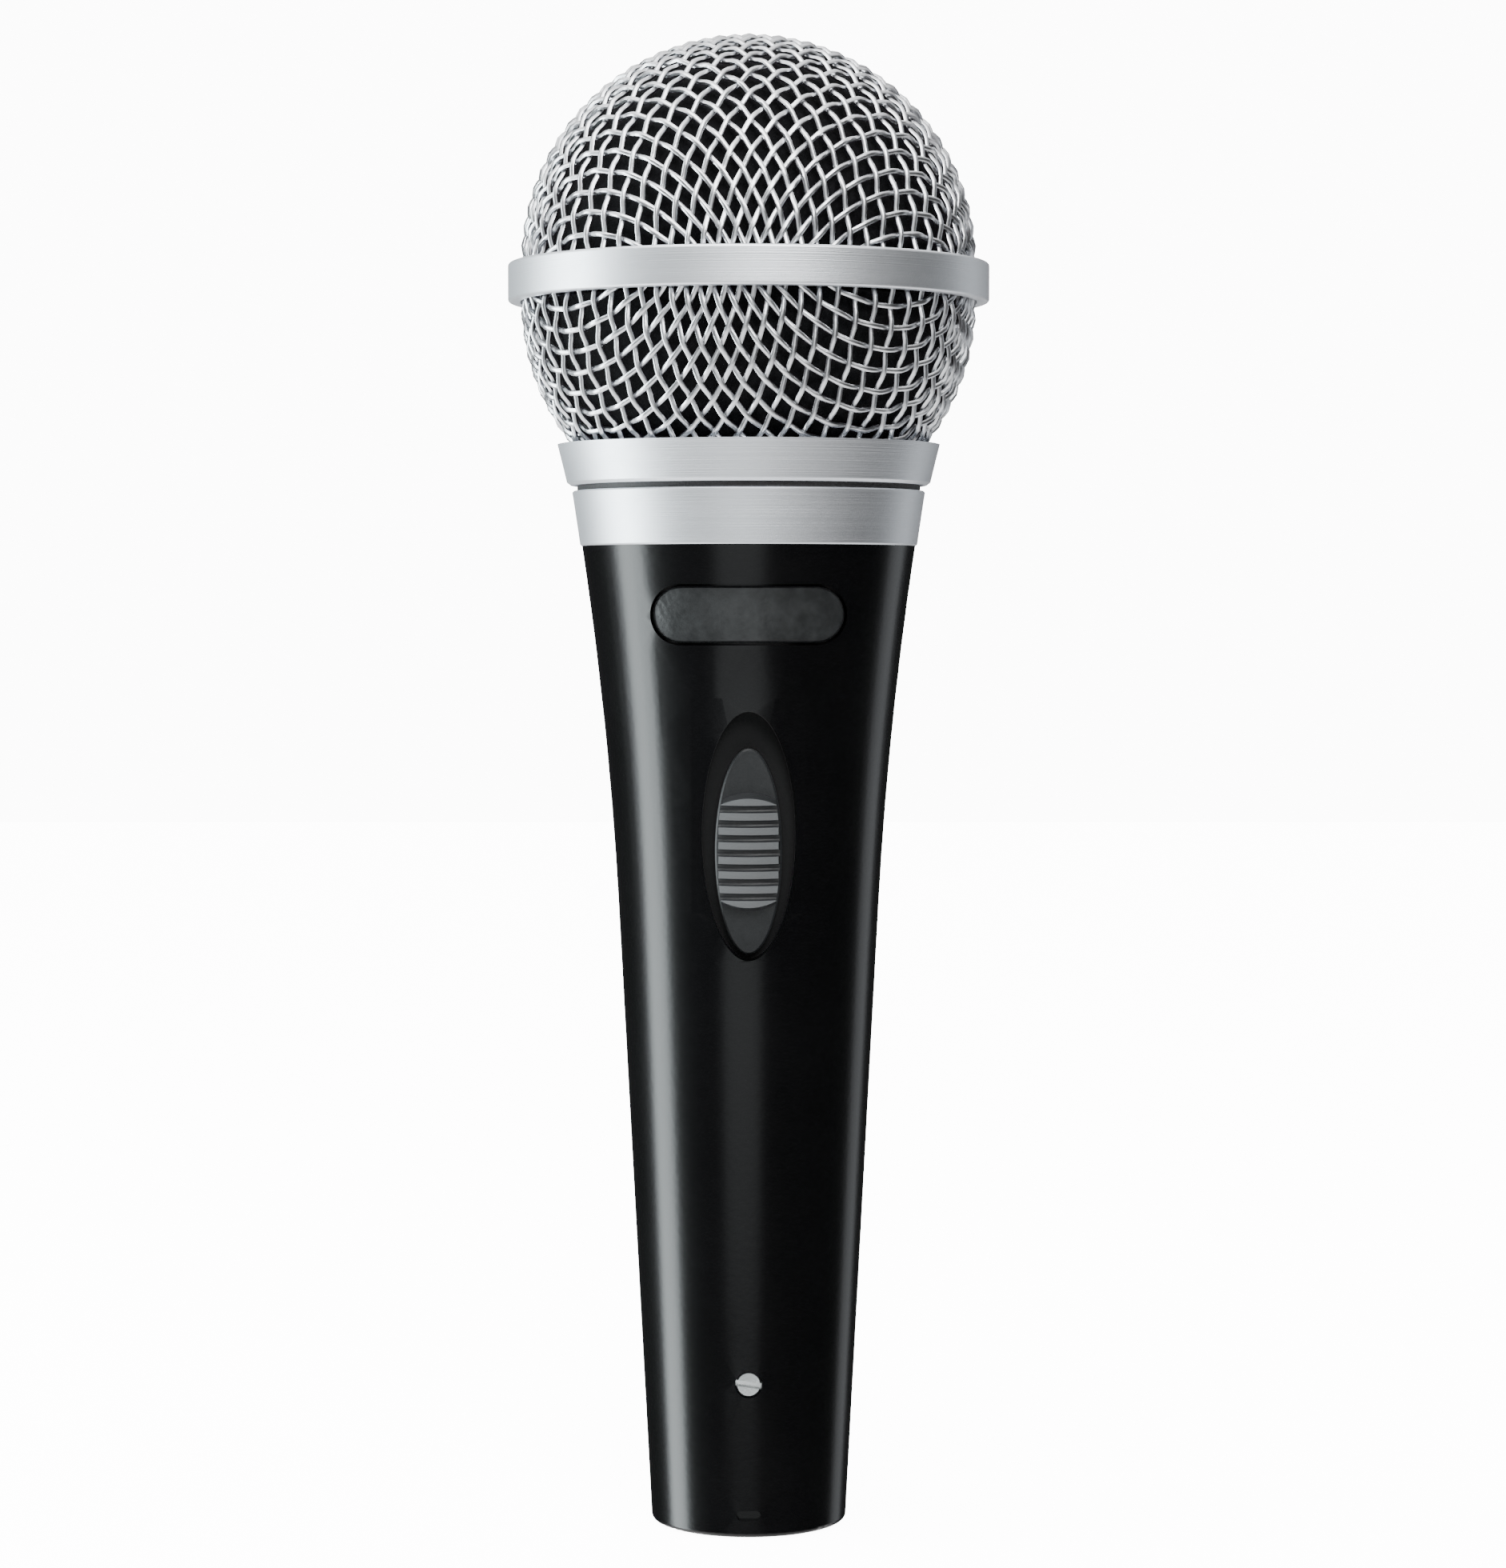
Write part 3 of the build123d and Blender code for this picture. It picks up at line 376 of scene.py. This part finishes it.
def buildFinish(name, values):
    material = bpy.data.materials.new(name)
    material.use_nodes = True
    tree = material.node_tree
    shader = next(n for n in tree.nodes if n.type == "BSDF_PRINCIPLED")
    shader.inputs["Metallic"].default_value = values["metal"]
    shader.inputs["Specular IOR Level"].default_value = values.get("shine", 0.5)
    wear = addNode(tree, "ShaderNodeGroup", node_tree=handWear)
    wear.inputs["Color"].default_value = (*values["color"], 1)
    wear.inputs["Worn Color"].default_value = (*values["worn"], 1)
    wear.inputs["Roughness"].default_value = values["rough"]
    wear.inputs["Spread"].default_value = values.get("spread", 0.06)
    wear.inputs["Patch Scale"].default_value = values.get("patch", 60)
    wear.inputs["Wear"].default_value = values["wear"]
    colour, rough = wear.outputs["Color"], wear.outputs["Roughness"]
    # on the knob the overlay is a painted highlight on the rib lands with painted shade left in the grooves;
    # on the lacquer it only makes the recess floor rough
    if "overlay" in values:
        over = addNode(tree, "ShaderNodeGroup", node_tree=overlays[values["overlay"]]).outputs["Mask"]
        colour = mixColour(tree, over, colour, (*values["overlayColor"], 1))
        gain = mathNode(tree, "SUBTRACT", values["overlayRough"], rough)
        rough = mathNode(tree, "ADD", rough, mathNode(tree, "MULTIPLY", over, gain))
    tree.links.new(colour, shader.inputs["Base Color"])
    tree.links.new(rough, shader.inputs["Roughness"])
    if "lathe" in values:
        detail = addNode(tree, "ShaderNodeGroup", node_tree=latheLines)
        detail.inputs["Pitch"].default_value = values["lathe"]
    elif "cloth" in values:
        detail = addNode(tree, "ShaderNodeGroup", node_tree=clothWeave)
        detail.inputs["Scale"].default_value = values["cloth"]
    else:
        detail = addNode(tree, "ShaderNodeGroup", node_tree=mouldGrain)
        detail.inputs["Scale"].default_value = values["grain"]
    bump = addNode(tree, "ShaderNodeBump", {"Height": detail.outputs["Height"]})
    bump.inputs["Strength"].default_value = values["bump"]
    bump.inputs["Distance"].default_value = bumpDepth
    tree.links.new(bump.outputs["Normal"], shader.inputs["Normal"])
    return material


materials = {name: buildFinish(name, values) for name, values in finishes.items()}

nodeFinish = {
    "handle": "blackLacquer", "neck_ring": "mattSilver", "nameplate": "badgePlate",
    "xlr_insert": "insertPlastic", "xlr_pin_1": "platedBrass", "xlr_pin_2": "platedBrass",
    "xlr_pin_3": "platedBrass", "xlr_lock_screw": "brightSteel", "xlr_ground_tab": "tinnedSteel",
    "switch_knob": "knobPlastic", "switch_plate": "tinnedSteel", "switch_screws": "brightSteel",
    "switch_housing": "switchPlastic", "switch_lugs": "tinnedSteel", "switch_lever": "switchPlastic",
    "switch_contacts": "platedBrass", "cartridge_housing": "cartridgePlastic",
    "shock_mount": "blackRubber", "magnet_cup": "platedIron", "magnet": "magnetAlloy",
    "pole_piece": "platedIron", "magnet_carrier": "cartridgePlastic", "voice_coil": "copperWire",
    "diaphragm_dome": "diaphragmFilm", "diaphragm_surround": "diaphragmFilm",
    "diaphragm_clamp_ring": "cartridgePlastic", "resonator_cap": "cartridgePlastic",
    "front_cloth": "acousticCloth", "damping_felt": "greyFelt", "terminal_board": "phenolicBoard",
    "cartridge_lugs": "tinnedSteel", "grille_band": "mattSilver", "grille_collar": "mattSilver",
    "grille_gasket": "blackRubber", "upper_mesh": "silverWire", "lower_mesh": "silverWire",
    "upper_foam": "popFoam", "lower_foam": "popFoam", "lead_cartridge_hot": "redLead",
    "lead_cartridge_cold": "blueLead", "lead_output_hot": "redLead", "lead_output_cold": "blueLead",
}

for node, finish in nodeFinish.items():
    mesh = frame["nodes"][node].data
    mesh.materials.clear()
    mesh.materials.append(materials[finish])
print("finishes on", len(nodeFinish), "nodes")


# sizes read from the frame

meshLow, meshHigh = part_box("upper_mesh")
bandLow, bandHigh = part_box("grille_band")
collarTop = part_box("grille_collar")[1].z
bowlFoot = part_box("lower_mesh")[0].z
ballRadius = (meshHigh.x - meshLow.x) / 2
ballTop = meshHigh.z


wireNet = {
    "pitch": 2.42 * mm,      # distance between crossings along a wire
    "wireRadius": 0.31 * mm,
    "wave": 0.28 * mm,       # how far a wire swings over and under
    "upperTurn": 46,         # degrees that each weave stands to the side
    "lowerTurn": 38,
    "reach": 24,             # crossings followed out from the pole
    "tuck": 1.6 * mm,        # how far the wires run in under the band
    "footGap": 0.5 * mm,     # from the foot of the bowl to the ends of the wires
    "bends": 3,              # points along a wire from one crossing to the next
}


def nextCrossing(first, second, corner, centre, radius, side):
    # third corner of a cell on the ball or on the straight skirt below it
    pitch = wireNet["pitch"]
    point = first + second - corner
    for _ in range(8):
        toFirst = point - first
        toSecond = point - second
        height = (point.z - centre.z) * side
        fromAxis = Vector((point.x - centre.x, point.y - centre.y, point.z - centre.z if height > 0 else 0))
        rows = Matrix((2 * toFirst, 2 * toSecond, 2 * fromAxis))
        miss = Vector((
            toFirst.length_squared - pitch * pitch,
            toSecond.length_squared - pitch * pitch,
            fromAxis.length_squared - radius * radius,
        ))
        if abs(rows.determinant()) < 1e-12:
            return None
        step = rows.inverted() @ miss
        if step.length > pitch:
            step = step.normalized() * pitch
        point = point - step
    if abs((point - first).length - pitch) > 0.02 * pitch or (point - corner).length < 0.3 * pitch:
        return None
    return point


def axisCrossing(count, angle, centre, radius, side):
    # crossing on one of the two wires through the pole
    arc = abs(count) * wireNet["pitch"]
    turnArc = radius * pi / 2
    around = angle if count >= 0 else angle + pi
    if arc < turnArc:
        lean = arc / radius
        return Vector((
            centre.x + radius * sin(lean) * cos(around),
            centre.y + radius * sin(lean) * sin(around),
            centre.z + side * radius * cos(lean),
        ))
    return Vector((
        centre.x + radius * cos(around), centre.y + radius * sin(around),
        centre.z - side * (arc - turnArc),
    ))


def drapeNet(centre, radius, side, turn):
    # crossings of a net of equal cells laid over the ball from its pole
    reach = wireNet["reach"]
    net = {}
    for i in range(-reach, reach + 1):
        net[i, 0] = axisCrossing(i, turn, centre, radius, side)
        net[0, i] = axisCrossing(i, turn + pi / 2, centre, radius, side)
    for signX in (1, -1):
        for signY in (1, -1):
            for i in range(1, reach + 1):
                for j in range(1, reach + 1):
                    a, b = net.get((signX * (i - 1), signY * j)), net.get((signX * i, signY * (j - 1)))
                    corner = net.get((signX * (i - 1), signY * (j - 1)))
                    if a is None or b is None or corner is None:
                        continue
                    point = nextCrossing(a, b, corner, centre, radius, side)
                    if point is not None:
                        net[signX * i, signY * j] = point
    return net


def wavedWire(net, keys, flip, centre, side):
    # one wire through its crossings, over one and under the next
    path = []
    for key in keys:
        point = net[key]
        height = (point.z - centre.z) * side
        away = point - Vector((centre.x, centre.y, centre.z if height > 0 else point.z))
        sign = 1 if (key[0] + key[1] + flip) % 2 == 0 else -1
        path.append(point + away.normalized() * wireNet["wave"] * sign)
    return path


def roundedPath(path):
    # Catmull-Rom points between the crossings, so the wire bends smoothly
    steps = wireNet["bends"]
    out = []
    for i in range(len(path) - 1):
        before = path[i - 1] if i > 0 else path[i] * 2 - path[i + 1]
        after = path[i + 2] if i + 2 < len(path) else path[i + 1] * 2 - path[i]
        for s in range(steps):
            t = s / steps
            a, b, c, d = before, path[i], path[i + 1], after
            out.append(0.5 * ((2 * b) + (c - a) * t + (2 * a - 5 * b + 4 * c - d) * t * t
                              + (3 * b - a - 3 * c + d) * t * t * t))
    out.append(path[-1])
    return out


def cutToHeight(path, low, high):
    # stretches of the wire between two heights, with ends exactly on them
    stretches, current = [], []
    for i, point in enumerate(path):
        inside = low <= point.z <= high
        if i and inside != (low <= path[i - 1].z <= high):
            previous = path[i - 1]
            edge = low if min(previous.z, point.z) < low else high
            share = (edge - previous.z) / (point.z - previous.z)
            current.append(previous.lerp(point, share))
            if not inside:
                stretches.append(current)
                current = []
        if inside:
            current.append(point)
    if len(current) > 1:
        stretches.append(current)
    return [s for s in stretches if len(s) > 2]


def weaveBall(name, centre, radius, side, turn, low, high):
    net = drapeNet(centre, radius, side, radians(turn))
    reach = wireNet["reach"]
    data = bpy.data.curves.new(name, "CURVE")
    data.dimensions = "3D"
    data.bevel_depth = wireNet["wireRadius"]
    data.bevel_resolution = 1
    data.use_fill_caps = True
    data.resolution_u = 1
    for flip in (0, 1):
        for row in range(-reach, reach + 1):
            keys = []
            for step in range(-reach, reach + 1):
                key = (step, row) if flip == 0 else (row, step)
                if key in net:
                    keys.append(key)
            runs, run = [], []
            for key in keys:
                spot = key[0] if flip == 0 else key[1]
                if run and spot != (run[-1][0] if flip == 0 else run[-1][1]) + 1:
                    runs.append(run)
                    run = []
                run.append(key)
            runs.append(run)
            for run in runs:
                if len(run) < 3:
                    continue
                path = roundedPath(wavedWire(net, run, flip, centre, side))
                for stretch in cutToHeight(path, low, high):
                    spline = data.splines.new("POLY")
                    spline.points.add(len(stretch) - 1)
                    for point, place in zip(spline.points, stretch):
                        point.co = (*place, 1)
    piece = bpy.data.objects.new(name, data)
    bpy.context.collection.objects.link(piece)
    makeActive(piece)
    bpy.ops.object.convert(target="MESH")
    piece = bpy.context.object
    smooth(piece, 60)
    piece.data.materials.clear()
    piece.data.materials.append(materials["silverWire"])
    print(name, "faces", len(piece.data.polygons))
    return piece


netRadius = ballRadius - wireNet["wave"] - wireNet["wireRadius"]
upperCentre = Vector((0, 0, ballTop - ballRadius))
upperWeave = weaveBall("upper_weave", upperCentre, netRadius, 1, wireNet["upperTurn"],
                       bandHigh.z - wireNet["tuck"], ballTop)
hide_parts("upper_mesh")
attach(upperWeave, "grille")

lowerCentre = Vector((0, 0, bandLow.z))
lowerWeave = weaveBall("lower_weave", lowerCentre, netRadius, -1, wireNet["lowerTurn"],
                       bowlFoot + wireNet["footGap"], bandLow.z + wireNet["tuck"])
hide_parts("lower_mesh")
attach(lowerWeave, "grille")


foamLining = {
    "depth": 1.75 * mm,      # outside of the foam, under the outside of the mesh
    "thickness": 2.2 * mm,
    "pore": 0.16 * mm,       # depth of the pores, then their width
    "poreWidth": 0.6 * mm,
    "footGap": 0.3 * mm,     # from the collar to the foot of the foam
}


def foamShell(name, node, centreZ, side, low, high):
    radius = ballRadius - foamLining["depth"]
    clearSelection()
    bpy.ops.mesh.primitive_uv_sphere_add(segments=96, ring_count=64, radius=radius, location=(0, 0, centreZ))
    piece = named(name)
    settle(piece)
    for cut in (low, high):
        keepAbove = cut == low
        makeActive(piece)
        bpy.ops.object.mode_set(mode="EDIT")
        bpy.ops.mesh.select_all(action="SELECT")
        bpy.ops.mesh.bisect(plane_co=(0, 0, cut), plane_no=(0, 0, 1), clear_inner=keepAbove,
                            clear_outer=not keepAbove)
        leaveEdit()
    if side > 0:
        # straight skirt down inside the band
        pickFaces(piece, lambda face: False)
        bpy.ops.mesh.select_mode(type="EDGE")
        mesh = bmesh.from_edit_mesh(piece.data)
        for edge in mesh.edges:
            edge.select = edge.is_boundary
        bmesh.update_edit_mesh(piece.data)
        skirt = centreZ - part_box(node)[0].z
        bpy.ops.mesh.extrude_region_move(TRANSFORM_OT_translate={"value": (0, 0, -skirt)})
        leaveEdit()
    outward(piece)
    shell = piece.modifiers.new("wall", "SOLIDIFY")
    shell.thickness = foamLining["thickness"]
    shell.offset = -1
    pores = bpy.data.textures.new(name + "Pores", "CLOUDS")
    pores.noise_scale = foamLining["poreWidth"]
    push = piece.modifiers.new("pores", "DISPLACE")
    push.texture = pores
    push.texture_coords = "LOCAL"
    push.strength = foamLining["pore"]
    push.mid_level = 1.0
    applyAll(piece)
    smooth(piece, 80)
    piece.data.materials.clear()
    piece.data.materials.append(materials["popFoam"])
    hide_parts(node)
    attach(piece, "grille")


foamShell("upper_foam_lining", "upper_foam", upperCentre.z, 1, upperCentre.z, ballTop)
foamShell("lower_foam_lining", "lower_foam", lowerCentre.z, -1,
          collarTop + foamLining["footGap"], lowerCentre.z)
print("grille and foam ready")


stageLook = {
    "floorSize": 3.0,
    "floorGap": 0.2 * mm,    # under the lowest point of the piece
    "floorShade": 0.85,
    "backdrop": 12.0,        # brightness of floor and backdrop seen straight on
    "levelLight": 0.03,      # brightness of the room level with the piece
    "highLight": 2.4,        # and high above or far below it
    "leftSide": 1.4,         # share of it on either side
    "rightSide": 0.5,
}


def seenAndFelt(tree, seen, felt):
    # one strength for what the camera sees, another for what lights the piece
    path = addNode(tree, "ShaderNodeLightPath")
    direct = mathNode(tree, "MULTIPLY", path.outputs["Is Camera Ray"], seen)
    rest = mathNode(tree, "SUBTRACT", 1.0, path.outputs["Is Camera Ray"])
    return mathNode(tree, "ADD", direct, mathNode(tree, "MULTIPLY", rest, felt))


def roomBrightness(tree):
    # dark where a polished upright wall would mirror it, bright above and below
    split = addNode(tree, "ShaderNodeSeparateXYZ", {
        "Vector": addNode(tree, "ShaderNodeTexCoord").outputs["Generated"]})
    slope = mathNode(tree, "ABSOLUTE", split.outputs["Z"])
    away = remap(tree, slope, 0.42, 0.72, stageLook["levelLight"], stageLook["highLight"])
    side = remap(tree, split.outputs["X"], -1.0, 1.0, stageLook["leftSide"], stageLook["rightSide"])
    return mathNode(tree, "MULTIPLY", away, side)


clearSelection()
bpy.ops.mesh.primitive_plane_add(size=stageLook["floorSize"],
                                 location=(0, 0, cadBox[0].z - stageLook["floorGap"]))
floor = named("floor")
paleFloor = bpy.data.materials.new("paleFloor")
paleFloor.use_nodes = True
floorTree = paleFloor.node_tree
floorShader = next(n for n in floorTree.nodes if n.type == "BSDF_PRINCIPLED")
floorShader.inputs["Base Color"].default_value = (*(stageLook["floorShade"],) * 3, 1)
floorShader.inputs["Roughness"].default_value = 0.8
floorShader.inputs["Emission Color"].default_value = (1, 1, 1, 1)
floorGlow = seenAndFelt(floorTree, stageLook["backdrop"], 0.0)
floorTree.links.new(floorGlow, floorShader.inputs["Emission Strength"])
# clear from below, so the underside can be looked at through it
facing = addNode(floorTree, "ShaderNodeNewGeometry").outputs["Backfacing"]
floorTree.links.new(mathNode(floorTree, "SUBTRACT", 1.0, facing), floorShader.inputs["Alpha"])
floor.data.materials.append(paleFloor)
floor.visible_glossy = False
floor.visible_shadow = False

lights = [
    # name, place, aim, width, height, watts, colour
    ("leftSoftbox", (-0.60, 0.0, 0.05), (0, 0, 0.08), 0.26, 0.8, 9.6, (0.90, 0.98, 1.0)),
    ("frontFill", (-0.125, -1.16, 0.03), (0, 0, 0.07), 0.72, 0.66, 2.2, (0.94, 0.99, 1.0)),
    ("frontHigh", (0.20, -0.75, 0.62), (0, 0, 0.12), 0.5, 0.4, 9.0, (1.0, 1.0, 1.0)),
    ("rightEdge", (0.43, 0.30, 0.05), (0, 0, 0.08), 0.20, 0.8, 0.55, (0.92, 0.96, 1.0)),
    ("topSoft", (-0.15, -0.35, 0.80), (0, 0, 0.12), 0.5, 0.5, 6.0, (1.0, 1.0, 1.0)),
]


def addLight(name, place, aim, width, height, watts, colour):
    clearSelection()
    bpy.ops.object.light_add(type="AREA", location=place)
    lamp = bpy.context.object
    lamp.name = name
    lamp.data.shape = "RECTANGLE"
    lamp.data.size = width
    lamp.data.size_y = height
    lamp.data.energy = watts
    lamp.data.color = colour
    toward = Vector(aim) - Vector(place)
    lamp.rotation_mode = "QUATERNION"
    lamp.rotation_quaternion = toward.to_track_quat("-Z", "Y")


for light in lights:
    addLight(*light)

world = bpy.data.worlds.new("studio")
bpy.context.scene.world = world
world.use_nodes = True
back = world.node_tree.nodes["Background"]
back.inputs["Color"].default_value = (1.0, 1.0, 1.0, 1)
room = world.node_tree
room.links.new(seenAndFelt(room, stageLook["backdrop"], roomBrightness(room)), back.inputs["Strength"])

cameraView = {"distance": 0.4655, "height": 0.107, "side": 0.0005, "pitch": 2.577, "lens": 91.84}
bpy.ops.object.camera_add(location=(cameraView["side"], -cameraView["distance"], cameraView["height"]),
                          rotation=(radians(90 - cameraView["pitch"]), 0, 0))
camera = bpy.context.object
camera.name = "studioCamera"
camera.data.lens = cameraView["lens"]
camera.data.clip_start = 0.01
camera.data.clip_end = 20
bpy.context.scene.camera = camera
print("stage ready")
